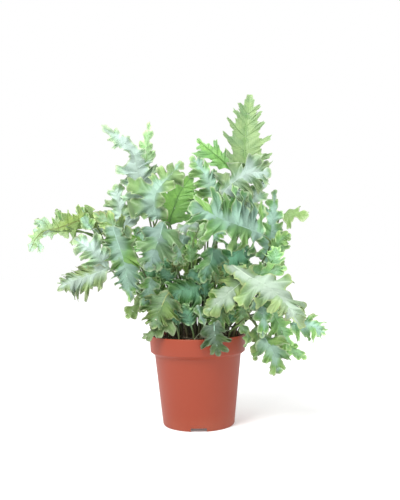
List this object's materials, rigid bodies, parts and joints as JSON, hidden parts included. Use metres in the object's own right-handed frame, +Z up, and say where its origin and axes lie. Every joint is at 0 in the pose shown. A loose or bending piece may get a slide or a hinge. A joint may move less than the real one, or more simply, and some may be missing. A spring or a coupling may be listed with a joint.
{
  "type": "potted blue star fern",
  "caption": "Bushy fern with ruffled, deeply lobed blue-green fronds on slim stalks, standing in potting soil in a round terracotta-coloured plastic plant pot.",
  "frame": {"origin": "centre of the flat middle of the pot's underside, in the plane that it stands on", "axes": "+Z up along the pot's axis, -Y towards the viewer of the picture, +X to that viewer's right"},
  "size_m": [0.3606, 0.177, 0.4214],
  "materials": {
    "terracotta_plastic": "satin",
    "potting_soil": "matte",
    "leaf_blue": "matte",
    "leaf_pale": "matte",
    "leaf_lime": "matte",
    "leaf_green": "matte",
    "leaf_deep": "matte",
    "leaf_olive": "matte",
    "leaf_pale_lime": "matte"
  },
  "bodies": {
    "root": {"frond_back_left": "leaf_green", "frond_back_left_high": "leaf_blue", "frond_back_left_low": "leaf_green", "frond_back_low": "leaf_deep", "frond_back_mid": "leaf_pale", "frond_back_mid_low": "leaf_blue", "frond_back_right": "leaf_blue", "frond_back_right_low": "leaf_green", "frond_big_right": "leaf_blue", "frond_bottom_left": "leaf_lime", "frond_dark_inner": "leaf_deep", "frond_green_back": "leaf_green", "frond_inner_low": "leaf_deep", "frond_left_arch": "leaf_olive", "frond_left_back": "leaf_pale", "frond_left_big": "leaf_blue", "frond_left_brown": "leaf_pale", "frond_left_fork": "leaf_lime", "frond_left_hang": "leaf_blue", "frond_left_mid": "leaf_olive", "frond_left_pale": "leaf_pale", "frond_left_tall": "leaf_pale", "frond_low_back": "leaf_deep", "frond_low_centre": "leaf_green", "frond_low_dark": "leaf_olive", "frond_low_green": "leaf_green", "frond_low_left_blue": "leaf_blue", "frond_low_left_olive": "leaf_olive", "frond_low_left_tip": "leaf_green", "frond_low_mid": "leaf_deep", "frond_low_pale": "leaf_blue", "frond_low_side": "leaf_green", "frond_low_teal": "leaf_deep", "frond_mid_hang": "leaf_blue", "frond_mid_lime": "leaf_lime", "frond_mid_right": "leaf_deep", "frond_mid_white": "leaf_pale", "frond_olive_mid": "leaf_olive", "frond_pale_big": "leaf_pale_lime", "frond_pale_left": "leaf_pale_lime", "frond_right_cup": "leaf_green", "frond_right_mid": "leaf_green", "frond_right_small": "leaf_lime", "frond_right_tips": "leaf_blue", "frond_right_upright": "leaf_blue", "frond_rim_curl": "leaf_green", "frond_rim_hang": "leaf_blue", "frond_soil_pale": "leaf_blue", "frond_teal_star": "leaf_deep", "frond_top_green": "leaf_green", "frond_top_grey": "leaf_blue", "frond_top_right": "leaf_pale", "frond_top_spire": "leaf_lime", "frond_top_white": "leaf_pale", "frond_under_blue": "leaf_blue", "frond_under_mid": "leaf_blue", "frond_under_olive": "leaf_olive", "pot": "terracotta_plastic", "soil": "potting_soil"}
  },
  "joints": []
}
